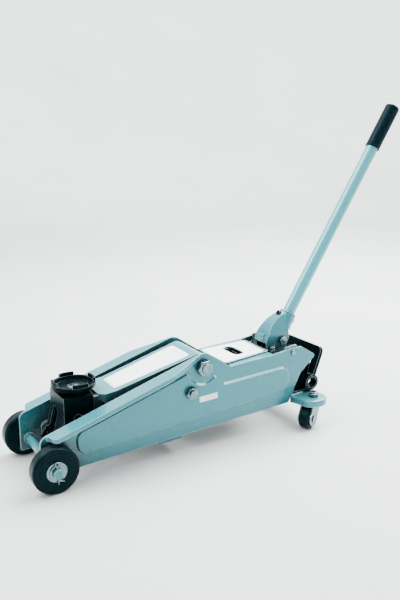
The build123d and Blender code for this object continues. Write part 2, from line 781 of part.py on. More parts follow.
def taper(drop):
    """Prism along X that narrows the hood towards its top."""
    half = ear_outer - drop
    face = blank(
        (-half, socket_z - 60, 0),
        (half, socket_z - 60, 0),
        (half, socket_z + 16, 0),
        (half - 10, socket_z + 52, 0),
        (-half + 10, socket_z + 52, 0),
        (-half, socket_z + 16, 0),
    )
    return Pos(socket_x - 80, 0, 0) * extrude(Plane.YZ * face, 160)


hood = across(hood_face, -ear_outer, ear_outer) & taper(0)
hood -= across(hood_hollow_face, -ear_outer, ear_outer) & taper(ear_thickness)
sleeve_mid = (sleeve_start + sleeve_end) / 2
sleeve = along * Pos(0, 0, sleeve_mid) * Cylinder(sleeve_radius, sleeve_end - sleeve_start)
tab = Box(3, tab_size, tab_size) - Rot(0, 90, 0) * Cylinder(2, 6)
tab = Pos(socket_x - 37, 0, socket_z + 8) * Rot(0, 14, 0) * fillet(tab.edges().filter_by(Axis.X), 2)
socket = hood + ((ear + other(ear)) & taper(0)) + sleeve + tab
socket -= along * Pos(0, 0, 60) * Cylinder(handle_radius + running, 90)
socket -= bar_y(socket_x, socket_z, socket_pin_radius + running, -60, 60)
pusher_x = socket_x - 3
pusher_z = socket_z - pusher_drop
socket -= bar_y(pusher_x, pusher_z, 4 + snug, -60, 60)
latch_x = socket_x - 25
latch_z = socket_z - 13
socket -= bar_y(latch_x, latch_z, 3 + snug, -60, 0)
screw_s = 45.0
clamp_spot = along.from_local_coords((0, 0, screw_s))
clamp_dir = Plane(origin=clamp_spot, x_dir=(0, 1, 0), z_dir=(-axis_z, 0, axis_x))
socket += clamp_dir * Pos(0, 0, sleeve_radius + 0.5) * Cylinder(6, 5)
socket -= clamp_dir * Pos(0, 0, 20) * Cylinder(3 + snug, 30)
socket -= clamp_dir * Pos(0, 0, sleeve_radius + 3 + 10) * Cylinder(5.5, 20)
socket -= along * Pos(0, 0, 60) * Cylinder(handle_radius + running, 90)
keep("handle_socket", socket)
clamp = clamp_dir * Pos(0, 0, 19) * Cylinder(3, 11)
clamp += clamp_dir * Pos(0, 0, sleeve_radius + 5.5) * Cylinder(5, 5)
keep("clamp_screw", clamp)
latch = bar_y(latch_x, latch_z, 3, -ear_outer - 7, -ear_inner)
latch += bar_y(latch_x, latch_z, 5, -ear_outer - 2.5, -ear_outer)
latch += Pos(latch_x, -ear_outer - 5, latch_z) * Rot(0, 35, 0) * Cylinder(1.1, 15)
keep("latch_pin", latch)
pusher = bar_y(pusher_x, pusher_z, pusher_radius, -6.4, 6.4)
pusher += bar_y(pusher_x, pusher_z, 4, -ear_outer - 1, ear_outer + 1)
keep("pump_pusher", pusher)
socket_bolt = bar_y(socket_x, socket_z, socket_pin_radius, -ear_outer - 1, ear_outer + 10)
bolt_head = extrude(RegularPolygon(socket_flats / sqrt(3), 6), 6)
socket_bolt += Pos(socket_x, -ear_outer - air, socket_z) * Rot(90, 0, 0) * bolt_head
keep("socket_pivot_bolt", socket_bolt)
socket_nut = other(nut_left(socket_x, socket_z, ear_outer + air, socket_flats, 8, socket_pin_radius + snug))
keep("socket_pivot_nut", socket_nut)
plunger_end = pusher_x - pusher_radius - 0.8
plunger = bar_x(0, plunger_z, plunger_radius, block_front + 24, plunger_end)
plunger += bar_x(0, plunger_z, 8.5, plunger_end - 4, plunger_end)
keep("pump_plunger", plunger)
plunger_coil = coil(block_rear + 1.6, plunger_end - 5.6, 4, 8.2, 1.0, 0, plunger_z, 2)
keep("plunger_spring", plunger_coil)
valve = bar_x(valve_y, valve_z, 5, block_rear - 11, block_rear + 8)
valve += bar_x(valve_y, valve_z, 8, block_rear + 3, block_rear + 9)
valve -= block(block_rear + 6, block_rear + 10, valve_y - 9, valve_y + 9, valve_z - 1, valve_z + 1)
keep("release_valve", valve)

# Handle
tube_mid = (handle_foot + grip_end - 4) / 2
tube_run = grip_end - 4 - handle_foot
handle = Cylinder(handle_radius, tube_run) - Cylinder(handle_radius - handle_wall, tube_run)
keep("handle_tube", along * Pos(0, 0, tube_mid) * handle)
grip_profile = blank(
    (handle_radius + snug, grip_start, 0),
    (grip_radius, grip_start, 1),
    (grip_radius, grip_end, 6),
    (0, grip_end, 0),
    (0, grip_end - 4, 0),
    (handle_radius + snug, grip_end - 4, 0),
)
keep("handle_grip", along * revolve(Plane.XZ * grip_profile, Axis.Z))

# Rear plate and casters, on the floor's axes
tail_face = blank(
    (stud_x + tail_round, -stud_y - tail_round, tail_round - 0.3),
    (stud_x - tail_round, -stud_y - tail_round, tail_round - 2.5),
    (tail_front, -plate_outer, 2),
    (tail_front + 18, -plate_outer, 2),
    (tail_front + 18, plate_outer, 2),
    (tail_front, plate_outer, 2),
    (stud_x - tail_round, stud_y + tail_round, tail_round - 2.5),
    (stud_x + tail_round, stud_y + tail_round, tail_round - 0.3),
)
tail = Pos(0, 0, tail_top - tail_sheet) * extrude(tail_face, tail_sheet)
tail_band = tail_face - offset(tail_face, -3)
tail += Pos(0, 0, tail_top - tail_rim) * extrude(tail_band, tail_rim)
tail = fillet(tail.faces().sort_by(Axis.Z)[-1].outer_wire().edges(), 2.5)
for side in (-1, 1):
    tail -= bar_z(stud_x, side * stud_y, stud_radius + snug, 0, 100)
keep_floor("caster_plate", tail)
race_top = tail_top - tail_sheet
fork_top = race_top - race_height - air
race = bar_z(stud_x, -stud_y, 15, race_top - race_height, race_top)
race -= bar_z(stud_x, -stud_y, stud_radius + snug, 0, 100)
keep_floor("caster_races", both(race))
stud = bar_z(stud_x, -stud_y, stud_radius, fork_top - fork_sheet - air, tail_top + stud_nut + 2.5)
stud += bar_z(stud_x, -stud_y, 9, fork_top - fork_sheet - air - 2.5, fork_top - fork_sheet - air)
keep_floor("caster_studs", both(stud))
caster_nut = Pos(stud_x, -stud_y, tail_top) * hexagon(stud_flats, stud_nut, stud_radius + snug)
keep_floor("caster_nuts", both(caster_nut))
leg_in = caster_width / 2 + 0.8
leg_out = leg_in + fork_sheet
fork_face = Circle(21) + Pos(10, 0) * Rectangle(24, 2 * leg_out)
fork = Pos(0, 0, fork_top - fork_sheet) * extrude(fork_face, fork_sheet)
leg_face = blank(
    (caster_trail / 2 - leg_round, fork_top, 0),
    (caster_trail / 2 + leg_round, fork_top, 0),
    (caster_trail + leg_round, caster_radius, 0),
    (caster_trail - leg_round, caster_radius, 0),
)
leg_face += Pos(caster_trail, caster_radius) * Circle(leg_round)
leg = across(leg_face, -leg_out, -leg_in)
fork += leg + other(leg)
fork -= bar_z(0, 0, stud_radius + running, 0, 100)
fork -= bar_y(caster_trail, caster_radius, rivet_radius + snug, -40, 40)
rivet = bar_y(caster_trail, caster_radius, rivet_radius, -leg_out, leg_out)
for side in (-1, 1):
    rivet += bar_y(caster_trail, caster_radius, 6.5, *sorted((side * leg_out, side * (leg_out + 2))))
roll = bar_y(caster_trail, caster_radius, caster_radius, -caster_width / 2, caster_width / 2)
roll = fillet(roll.edges().filter_by(GeomType.CIRCLE), 3)
roll -= bar_y(caster_trail, caster_radius, rivet_radius + running, -40, 40)
for name, side in (("left", -1), ("right", 1)):
    seat = Pos(stud_x, side * stud_y, 0) * Rot(0, 0, caster_heading)
    keep_floor("caster_fork_" + name, seat * fork)
    keep_floor("caster_rivet_" + name, seat * rivet)
    keep_floor("caster_wheel_" + name, seat * roll)

# Foot pedal and its ears
pivot_x, pivot_z = floor_xz(pedal_x, pedal_z)
eye_out = pedal_half + 0.4
eye_in = eye_out - eye_length
ear_y_out = eye_in - air
ear_round = sleeve_outer + 1.5
ear_low = blank(
    (tail_front + 20, tail_top, 0),
    (pivot_x + 7, tail_top, 0),
    (pivot_x + ear_round, pivot_z, 0),
    (pivot_x - 2, pivot_z + ear_round - 1, 0),
    (pivot_x + 4, pivot_z + ear_reach - 5, 3),
    (pivot_x - 8, pivot_z + ear_reach, 5),
    (pivot_x - 33, pivot_z + ear_reach / 2, 6),
)
pedal_ear = across(ear_low, -ear_y_out, -ear_y_out + 5)
pedal_ear += bar_y(pivot_x, pivot_z, ear_round, -ear_y_out, -ear_y_out + 5)
pedal_ear += bar_y(pivot_x, pivot_z, sleeve_outer, -eye_out - 0.6, -ear_y_out + 5)
pedal_ear -= bar_y(pivot_x, pivot_z, sleeve_bore, -80, 0)
keep_floor("pedal_ears", both(pedal_ear))
window_half = pedal_half - pedal_arm
frame_face = blank(
    (-pedal_half, pedal_foot, 3),
    (-pedal_half, pedal_reach, 12),
    (pedal_half, pedal_reach, 12),
    (pedal_half, pedal_foot, 3),
    (window_half, pedal_foot, 3),
    (window_half, pedal_reach - pedal_bar, 8),
    (-window_half, pedal_reach - pedal_bar, 8),
    (-window_half, pedal_foot, 3),
)
pedal = Pos(-pedal_thickness / 2, 0, 0) * extrude(Plane.YZ * frame_face, pedal_thickness)
eye = bar_y(0, 0, eye_radius, -eye_out, -eye_in)
eye += block(-pedal_thickness / 2, pedal_thickness / 2, -pedal_half, -eye_in, 8, 24)
pedal += eye + other(eye)
pedal -= bar_y(0, 0, sleeve_outer + running, -80, 80)
pedal = Pos(pedal_x, 0, pedal_z) * Rot(0, pedal_lean, 0) * pedal
keep("foot_pedal", pedal)

# Stance and files
stance = Pos(0, 0, axle_z) * Rot(0, -stance_tilt, 0) * Pos(0, 0, -axle_z)
for name, shape in pieces.items():
    standing[name] = stance * shape
boxes = [shape.bounding_box() for shape in standing.values()]
x_low = min(box.min.X for box in boxes)
x_high = max(box.max.X for box in boxes)
x_mid = (x_low + x_high) / 2
os.makedirs("parts", exist_ok=True)
for name, shape in standing.items():
    placed = Pos(-x_mid, 0, 0) * shape
    export_step(placed, "parts/" + name + ".step")
print("nodes", len(standing), "x_mid", round(x_mid, 4), "length", round(x_high - x_low, 3))
print("low", round(min(box.min.Z for box in boxes), 4), "high", round(max(box.max.Z for box in boxes), 3))
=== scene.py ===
"""Looks of a small hydraulic trolley jack: enamelled pressings, black castings, zinc fittings, blank labels.

Places on the chassis are given in its own level millimetres, x back from the front axle. stand() tips them to
the jack's stance and turns them into the frame's metres.
"""
import json
import math

import bmesh
import bpy
import numpy as np
from mathutils import Matrix, Vector


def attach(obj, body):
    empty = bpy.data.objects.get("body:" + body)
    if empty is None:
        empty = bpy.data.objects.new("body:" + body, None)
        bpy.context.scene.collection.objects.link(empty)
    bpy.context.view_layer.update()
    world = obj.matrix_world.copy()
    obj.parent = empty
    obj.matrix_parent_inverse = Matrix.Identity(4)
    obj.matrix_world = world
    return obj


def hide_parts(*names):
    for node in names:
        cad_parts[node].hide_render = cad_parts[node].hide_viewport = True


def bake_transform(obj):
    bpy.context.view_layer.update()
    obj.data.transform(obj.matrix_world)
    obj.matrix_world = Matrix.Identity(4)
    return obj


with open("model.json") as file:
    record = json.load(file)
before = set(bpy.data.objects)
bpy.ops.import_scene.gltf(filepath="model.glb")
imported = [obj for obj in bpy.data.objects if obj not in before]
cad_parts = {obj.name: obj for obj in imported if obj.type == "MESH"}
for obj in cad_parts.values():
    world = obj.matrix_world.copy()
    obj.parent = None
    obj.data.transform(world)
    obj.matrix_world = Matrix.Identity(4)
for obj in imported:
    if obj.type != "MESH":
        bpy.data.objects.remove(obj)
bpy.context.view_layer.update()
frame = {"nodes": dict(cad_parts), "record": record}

# Stance: the chassis's tip nose down, its front axle's height, and the frame's middle behind that axle
TILT = math.radians(3.4)
AXLE = 39.0
MIDDLE = 374.587
LENGTHWISE = (1, 0, 0)
ACROSS = (0, 1, 0)
UPRIGHT = (0, 0, 1)


def stand(place):
    """Level chassis millimetres to frame metres: a turn by the tilt about the front axle, then a shift."""
    x, y, z = np.moveaxis(np.asarray(place, float), -1, 0)
    c, s = math.cos(TILT), math.sin(TILT)
    return np.stack([x * c - (z - AXLE) * s - MIDDLE, y, AXLE + x * s + (z - AXLE) * c], -1) / 1000


def level(x, y, z):
    """A point on the floor's axes in level chassis millimetres, the inverse of the tip in stand()."""
    c, s = math.cos(TILT), math.sin(TILT)
    return x * c + (z - AXLE) * s, y, AXLE - x * s + (z - AXLE) * c


def linear(hex_colour):
    """sRGB hex to the linear RGBA that the shader sockets take."""
    parts = np.array([int(hex_colour[i:i + 2], 16) for i in (1, 3, 5)]) / 255
    light = np.where(parts <= 0.04045, parts / 12.92, ((parts + 0.055) / 1.055) ** 2.4)
    return (*light, 1.0)


def add(tree, kind, links=(), settings=(), **inputs):
    """Add one node: settings are attributes, inputs socket values, links (input, other node, output)."""
    node = tree.nodes.new(kind)
    for name, value in dict(settings).items():
        setattr(node, name, value)
    for name, value in inputs.items():
        node.inputs[name.replace("_", " ")].default_value = value
    for into, source, out in links:
        tree.links.new(source.outputs[out], node.inputs[into])
    return node


def start(name):
    """A new material with its tree, the Principled shader, and Object coordinates."""
    material = bpy.data.materials.new(name)
    material.use_nodes = True
    tree = material.node_tree
    return material, tree, tree.nodes["Principled BSDF"], tree.nodes.new("ShaderNodeTexCoord")


def tint(tree, coords, size_mm, low, high, detail=4.0):
    """Two colours mixed over the middle of a soft noise whose blotches are size_mm across; gives the node."""
    middle = (0.35, 0.65)
    place = [("Vector", coords, "Object")]
    noise = add(tree, "ShaderNodeTexNoise", place, Scale=1000 / size_mm, Detail=detail)
    ramp = add(tree, "ShaderNodeValToRGB", [("Fac", noise, "Fac")])
    for stop, position, colour in zip(ramp.color_ramp.elements, middle, (low, high)):
        stop.position = position
        stop.color = linear(colour)
    return ramp


def relief(tree, coords, shader, size_mm, height_mm, strength, base=None):
    """Bump from noise of grain size_mm and depth height_mm, over the base node's normal if one is given."""
    place = [("Vector", coords, "Object")]
    noise = add(tree, "ShaderNodeTexNoise", place, Scale=1000 / size_mm, Detail=2.0)
    height = [("Height", noise, "Fac")]
    bump = add(tree, "ShaderNodeBump", height, Strength=strength, Distance=height_mm / 1000)
    if base:
        tree.links.new(base.outputs["Normal"], bump.inputs["Normal"])
    tree.links.new(bump.outputs["Normal"], shader.inputs["Normal"])


def gloss(tree, coords, shader, size_mm, low, high):
    """Roughness that wanders between low and high over patches size_mm across, as handling leaves it.

    Noise seldom leaves 0.3 to 0.7, so that band is spread over the whole of the roughness's range.
    """
    place = [("Vector", coords, "Object")]
    noise = add(tree, "ShaderNodeTexNoise", place, Scale=1000 / size_mm, Detail=5.0)
    value = [("Value", noise, "Fac")]
    span = add(tree, "ShaderNodeMapRange", value, From_Min=0.3, From_Max=0.7, To_Min=low, To_Max=high)
    tree.links.new(span.outputs["Result"], shader.inputs["Roughness"])


def edge_wear_and_highlight(tree, radius_mm):
    """Rounded shading normal of the edges, and a mask that is 1 along them.

    The mask grows from 0 to 1 as the rounded normal's dot with the flat one falls from 0.99 to 0.8. Through
    it the materials paint their edges lighter, partly as rubbed wear and partly as a painted highlight.
    """
    rounded = add(tree, "ShaderNodeBevel", settings={"samples": 6}, Radius=radius_mm / 1000)
    flat = add(tree, "ShaderNodeNewGeometry")
    normals = [(0, rounded, "Normal"), (1, flat, "Normal")]
    dot = add(tree, "ShaderNodeVectorMath", normals, {"operation": "DOT_PRODUCT"})
    mask = add(tree, "ShaderNodeMapRange", [("Value", dot, "Value")], From_Min=0.99, From_Max=0.8)
    return rounded, mask


def shut_in_shade_mask(tree, reach_mm):
    """A mask that is 1 where other pieces shut a surface in within reach_mm: it drives painted shade there.

    It is the surface's openness among all the pieces over its openness alone, spread from 0.8 down to 0.35.
    """
    reach = reach_mm / 1000
    rays = {"samples": 8}
    among = add(tree, "ShaderNodeAmbientOcclusion", settings=rays, Distance=reach)
    alone = add(tree, "ShaderNodeAmbientOcclusion", settings={**rays, "only_local": True}, Distance=reach)
    share = add(tree, "ShaderNodeMath", [(0, among, "AO"), (1, alone, "AO")], {"operation": "DIVIDE"})
    return add(tree, "ShaderNodeMapRange", [("Value", share, "Value")], From_Min=0.8, From_Max=0.35)


def mixed(tree, factor, below, above):
    """The colour socket below, turned into the hex colour above by the factor's result.

    A Mix node of colours has its factor at input 0, its two colours at inputs 6 and 7, and its result at
    output 2.
    """
    blend = add(tree, "ShaderNodeMix", settings={"data_type": "RGBA"})
    tree.links.new(factor.outputs["Result"], blend.inputs[0])
    tree.links.new(below, blend.inputs[6])
    blend.inputs[7].default_value = linear(above)
    return blend.outputs[2]


def silver_green_enamel(name="silver_green_enamel", low="#216F7A", high="#2F7D87", coat=0.5):
    """Stoved silver-green enamel on pressed steel: fine flake, slight orange peel, edges painted lighter as
    rubbed wear and as a painted highlight.

    The flake is drawn 0.9 mm across, coarser than it is, so that it shows. Painted shade darkens what other
    pieces shut in.
    """
    material, tree, shader, coords = start(name)
    flake = tint(tree, coords, 0.9, low, high, detail=1.0)
    rounded, edges = edge_wear_and_highlight(tree, 1.6)
    # Painted shade: the enamel turns dark teal-grey where other pieces shut it in.
    painted_shade = mixed(tree, shut_in_shade_mask(tree, 110), flake.outputs["Color"], "#1F2A2D")
    # Edges painted near white: partly rubbed wear, partly a painted highlight.
    colour = mixed(tree, edges, painted_shade, "#D6EEF0")
    tree.links.new(colour, shader.inputs["Base Color"])
    shader.inputs["Metallic"].default_value = 0.15
    shader.inputs["Specular Tint"].default_value = linear("#A6D6DC")
    shader.inputs["Coat Weight"].default_value = coat
    shader.inputs["Coat Roughness"].default_value = 0.1
    gloss(tree, coords, shader, 45, 0.24, 0.31)
    relief(tree, coords, shader, 2.2, 0.03, 0.2, base=rounded)
    return material


def black_enamel():
    """Black dipped enamel on cast and welded steel: uneven glossy skin, edges painted with a blue-grey
    highlight.
    """
    material, tree, shader, coords = start("black_enamel")
    skin = tint(tree, coords, 18, "#020809", "#041014")
    rounded, edges = edge_wear_and_highlight(tree, 1.2)
    # Painted highlight: the edges turn blue-grey.
    colour = mixed(tree, edges, skin.outputs["Color"], "#8FB0B8")
    tree.links.new(colour, shader.inputs["Base Color"])
    shader.inputs["Specular IOR Level"].default_value = 0.035
    shader.inputs["Specular Tint"].default_value = linear("#7CC4D2")
    gloss(tree, coords, shader, 12, 0.18, 0.3)
    relief(tree, coords, shader, 1.6, 0.06, 0.3, base=rounded)
    return material


def cast_wheel_black():
    """Black lacquer over a turned cast wheel: fine sand grain under a satin skin, a sheen on its shoulder
    from the lacquer and from edges painted lighter.
    """
    material, tree, shader, coords = start("cast_wheel_black")
    skin = tint(tree, coords, 9, "#041013", "#07181C")
    rounded, edges = edge_wear_and_highlight(tree, 0.8)
    # Edges painted a little lighter: partly rubbed lacquer, partly a painted highlight.
    colour = mixed(tree, edges, skin.outputs["Color"], "#2A3B40")
    tree.links.new(colour, shader.inputs["Base Color"])
    shader.inputs["Specular IOR Level"].default_value = 0.09
    shader.inputs["Specular Tint"].default_value = linear("#6FB4C2")
    gloss(tree, coords, shader, 8, 0.26, 0.42)
    relief(tree, coords, shader, 0.9, 0.06, 0.3, base=rounded)
    return material


def zinc_plate():
    """Bright passivated zinc on turned and pressed steel: blue-grey metal, spangle, painted shade in the
    corners, edges painted light.
    """
    material, tree, shader, coords = start("zinc_plate")
    spangle_mm = 2.5
    cells = add(tree, "ShaderNodeTexVoronoi", [("Vector", coords, "Object")], Scale=1000 / spangle_mm)
    spangle = add(tree, "ShaderNodeValToRGB", [("Fac", cells, "Distance")])
    spangle.color_ramp.elements[0].color = linear("#829EA5")
    spangle.color_ramp.elements[1].color = linear("#405860")
    rounded, edges = edge_wear_and_highlight(tree, 0.7)
    # Painted shade: the zinc turns dark where other pieces close its corners in.
    shaded_corners = mixed(tree, shut_in_shade_mask(tree, 12), spangle.outputs["Color"], "#14262A")
    # Edges painted near white: a painted highlight, partly rubbed wear.
    colour = mixed(tree, edges, shaded_corners, "#E5F2F4")
    tree.links.new(colour, shader.inputs["Base Color"])
    shader.inputs["Metallic"].default_value = 0.95
    gloss(tree, coords, shader, 6, 0.1, 0.24)
    relief(tree, coords, shader, 1.1, 0.02, 0.15, base=rounded)
    return material


def hard_chrome():
    """Hard chrome on the ground ram: mirror-bright with a faint wander of grinding marks."""
    material, tree, shader, coords = start("hard_chrome")
    colour = tint(tree, coords, 5, "#C9D3D4", "#DDE5E6")
    tree.links.new(colour.outputs["Color"], shader.inputs["Base Color"])
    shader.inputs["Metallic"].default_value = 1.0
    gloss(tree, coords, shader, 4, 0.08, 0.16)
    relief(tree, coords, shader, 0.8, 0.01, 0.15)
    return material


def spring_wire():
    """Oil-tempered spring wire: dark grey drawn steel with a thin oil film."""
    material, tree, shader, coords = start("spring_wire")
    colour = tint(tree, coords, 3, "#3A3D3C", "#55595A")
    tree.links.new(colour.outputs["Color"], shader.inputs["Base Color"])
    shader.inputs["Metallic"].default_value = 0.85
    gloss(tree, coords, shader, 5, 0.3, 0.45)
    relief(tree, coords, shader, 0.7, 0.02, 0.2)
    return material


def grip_rubber():
    """Dipped vinyl-rubber grip: near black, soft broad highlight, faint moulded grain."""
    material, tree, shader, coords = start("grip_rubber")
    colour = tint(tree, coords, 6, "#030C10", "#081A21")
    tree.links.new(colour.outputs["Color"], shader.inputs["Base Color"])
    shader.inputs["Specular IOR Level"].default_value = 0.1
    shader.inputs["Specular Tint"].default_value = linear("#8CC4D0")
    gloss(tree, coords, shader, 10, 0.22, 0.34)
    relief(tree, coords, shader, 2.0, 0.08, 0.4)
    return material


def label_vinyl():
    """Blank white vinyl label with one thin grey line inside its edge: the mesh's own U runs inwards."""
    line_at, line_half_width = 0.13, 0.012
    material, tree, shader, coords = start("label_vinyl")
    film = tint(tree, coords, 30, "#E8F0F0", "#F6FAF9")
    inward = add(tree, "ShaderNodeSeparateXYZ", [("Vector", coords, "UV")])
    line = add(tree, "ShaderNodeMath", [(0, inward, "X")], {"operation": "COMPARE"})
    line.inputs[1].default_value = line_at
    line.inputs[2].default_value = line_half_width
    share = add(tree, "ShaderNodeMapRange", [("Value", line, "Value")], To_Max=0.55)
    colour = mixed(tree, share, film.outputs["Color"], "#7E979B")
    tree.links.new(colour, shader.inputs["Base Color"])
    gloss(tree, coords, shader, 25, 0.3, 0.4)
    relief(tree, coords, shader, 6, 0.02, 0.15)
    return material


finishes = {
    "body_paint": silver_green_enamel(),
    "black_paint": black_enamel(),
    "wheel_black": cast_wheel_black(),
    "zinc": zinc_plate(),
    "ram_chrome": hard_chrome(),
    "spring_steel": spring_wire(),
    "grip_rubber": grip_rubber(),
}
for part in frame["record"]["subparts"]:
    shape = frame["nodes"][part["node"]]
    shape.data.materials.clear()
    shape.data.materials.append(finishes[part["material_slot"]])

# The drawn tube of the handle is smoother than the pressings, so its copy of the enamel has a glossier coat;
# the copy's colour is also painted lighter, a painted highlight over the whole tube
lighter_tube_enamel = silver_green_enamel("silver_green_tube_enamel", "#38929C", "#4AA2AB", coat=1.0)
frame["nodes"]["handle_tube"].data.materials[0] = lighter_tube_enamel


def grid_piece(name, points, material, closed_u=False, closed_v=False):
    """A mesh over a grid of points (rows u, columns v), ends joined if closed, with UV from 0 to 1 each way.

    Points that fall on one place, such as a pole, are merged, and the faces are turned outwards.
    """
    same_place = 1e-6
    rows, columns = points.shape[:2]
    index = np.arange(rows * columns).reshape(rows, columns)
    if closed_u:
        index = np.concatenate([index, index[:1]], 0)
    if closed_v:
        index = np.concatenate([index, index[:, :1]], 1)
    faces = np.stack([index[:-1, :-1], index[1:, :-1], index[1:, 1:], index[:-1, 1:]], -1).reshape(-1, 4)
    mesh = bpy.data.meshes.new(name)
    mesh.from_pydata(points.reshape(-1, 3).tolist(), [], faces.tolist())
    mesh.materials.append(material)
    spots = np.empty(len(mesh.loops), dtype=np.int32)
    mesh.loops.foreach_get("vertex_index", spots)
    uv = np.stack([spots // columns / max(rows - 1, 1), spots % columns / columns], -1)
    mesh.uv_layers.new(name="grid").data.foreach_set("uv", uv.ravel())
    shell = bmesh.new()
    shell.from_mesh(mesh)
    bmesh.ops.remove_doubles(shell, verts=shell.verts, dist=same_place)
    bmesh.ops.recalc_face_normals(shell, faces=shell.faces)
    shell.to_mesh(mesh)
    shell.free()
    mesh.shade_smooth()
    piece = bpy.data.objects.new(name, mesh)
    bpy.context.scene.collection.objects.link(piece)
    return piece


def keep(piece, body):
    """Let a piece ride on a body."""
    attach(piece, body)


def around(count):
    """Angles of count points round a full turn, the last short of the first."""
    return np.linspace(0, 2 * np.pi, count, endpoint=False)


def round_rectangle(half_u, half_v, power):
    """Superellipse |u/a|^n + |v/b|^n = 1, 96 points round: a rectangle with softly rounded corners."""
    c, s = np.cos(around(96)), np.sin(around(96))
    reach = (np.abs(c) ** power + np.abs(s) ** power) ** (-1 / power)
    return np.stack([half_u * c * reach, half_v * s * reach], -1)


def label(name, centre, along, over, half_u, half_v, body, narrow=0.0, hole=None):
    """Thin label on two axes: rings t from its outline in to its middle or to a hole (u, v, half u, half v).

    A ring is (1 - t) outline + t inner edge, and its v shrinks as 1 - narrow u/a. The first and last rings
    lie on the sheet below and the others a film's thickness above it.
    """
    film = 0.12
    rings = 40
    label_corner = 14.0
    hole_corner = 4.0
    outer = round_rectangle(half_u, half_v, label_corner)
    inner = round_rectangle(*hole[2:], hole_corner) + np.array(hole[:2]) if hole else 0 * outer
    t = np.concatenate([[0], np.linspace(0, 1, rings), [1]])[:, None, None]
    lift = np.full(t.shape, film)
    lift[[0, -1]] = 0
    flat = outer * (1 - t) + inner * t
    flat[..., 1] *= 1 - narrow * flat[..., 0] / half_u
    along, over = np.array(along), np.array(over)
    place = np.array(centre) + flat[..., :1] * along + flat[..., 1:] * over + lift * np.cross(along, over)
    keep(grid_piece(name, stand(place), label_white, closed_u=True, closed_v=True), body)


# Label places: on the lift arm's sloping top, on the cover plate round its slot, and on the left side plate
label_white = label_vinyl()
arm_slope = 0.205
arm_front_x, arm_front_z = 136, 124.6
arm_label_x = 205
arm_spot = (arm_label_x, 0, arm_front_z + arm_slope * (arm_label_x - arm_front_x))
arm_rise = math.atan(arm_slope)
arm_along = (math.cos(arm_rise), 0, math.sin(arm_rise))
label("arm_label", arm_spot, arm_along, ACROSS, 78, 29.5, "lift_arm", narrow=-0.17)
cover_spot = (397, 0, 127.0)
cover_slot = (0, 2, 11, 26.2)
label("cover_label", cover_spot, LENGTHWISE, ACROSS, 47.5, 41.5, "chassis", narrow=0.09, hole=cover_slot)
side_spot = (299, -64.0, 77.5)
label("side_label", side_spot, LENGTHWISE, UPRIGHT, 19, 5.5, "chassis")


def bead(name, path, radius, body):
    """Weld bead along a path of chassis points: a tube of rings round the path.

    Its radius is r (0.8 + 0.2 |sin|) with a ripple every 2.2 mm, and both ends close as
    sqrt(1 - |2 s / length - 1|^8).
    """
    ripple = 2.2
    rings_per_mm = 3
    least_rings = 24
    path = np.array(path, float)
    run = np.concatenate([[0], np.cumsum(np.linalg.norm(np.diff(path, axis=0), axis=1))])
    s = np.linspace(0, run[-1], max(least_rings, int(run[-1] * rings_per_mm)))
    spine = np.stack([np.interp(s, run, path[:, k]) for k in range(3)], -1)
    ahead = np.gradient(spine, axis=0)
    ahead /= np.linalg.norm(ahead, axis=1, keepdims=True)
    side = np.cross(ahead, UPRIGHT)
    side /= np.linalg.norm(side, axis=1, keepdims=True)
    rise = np.cross(side, ahead)
    ends = np.sqrt(np.clip(1 - np.abs(2 * s / run[-1] - 1) ** 8, 0, 1))
    swell = radius * ends * (0.8 + 0.2 * np.abs(np.sin(np.pi * s / ripple)))
    angle = around(16)[:, None]
    ring = side[:, None] * np.cos(angle) + rise[:, None] * np.sin(angle)
    place = spine[:, None] + swell[:, None, None] * ring
    keep(grid_piece(name, stand(place), finishes["body_paint"], closed_v=True), body)


# Welds on the caster plate's top: round the toe of each side plate, and along the foot of each pedal ear
plate_top = 58.4
toe = [(487, 60.4, plate_top - 0.2), (503, 60.2, plate_top), (508, 57.5, plate_top), (522, 56, plate_top)]
foot = [(507, 46.2, plate_top), (548, 46.2, plate_top)]
for side, name in ((-1, "left"), (1, "right")):
    bead("tail_weld_" + name, [level(x, side * y, z) for x, y, z in toe], 2.6, "chassis")
    bead("ear_weld_" + name, [level(x, side * y, z) for x, y, z in foot], 1.3, "chassis")


def turned(name, origin, axis, profile, material, sides=0):
    """Turned piece: (radius, height) pairs swept round an axis.

    With sides, the radius grows as 1 / cos of the angle from the middle of each flat.
    """
    first = np.array(ACROSS)
    second = np.cross(axis, first)
    angle = around(96)
    flat = 2 * np.pi / sides if sides else 1.0
    grow = 1 / np.cos((angle + flat / 2) % flat - flat / 2) if sides else np.ones_like(angle)
    radius, height = np.array(profile, float).T
    ring = np.cos(angle)[:, None] * first + np.sin(angle)[:, None] * second
    place = origin + (radius[:, None] * grow)[..., None] * ring + height[:, None, None] * axis
    return grid_piece(name, stand(place), material, closed_v=True)


# The handle's axis from the socket's pivot: the way up it, and the way out behind it
socket = np.array([499.0, 0, 133.0])
lean = math.radians(54.5)
up_handle = np.array([math.cos(lean), 0, math.sin(lean)])
behind = np.array([math.sin(lean), 0, -math.cos(lean)])

# Two nuts with their stud ends on the rear of the handle's sleeve
sleeve_rear = 16.4
nut_profile = [(0, 0), (4.2, 0), (4.6, 0.5), (4.6, 3.4), (4.1, 4.0)]
stud_profile = [(2.4, 4.0), (2.4, 5.4), (1.9, 5.9), (0, 5.9)]
for spot in (45, 30):
    seat = socket + spot * up_handle + sleeve_rear * behind
    black = finishes["black_paint"]
    nut = turned("sleeve_nut_" + str(spot), seat, behind, nut_profile + stud_profile, black, sides=6)
    keep(nut, "handle_socket")

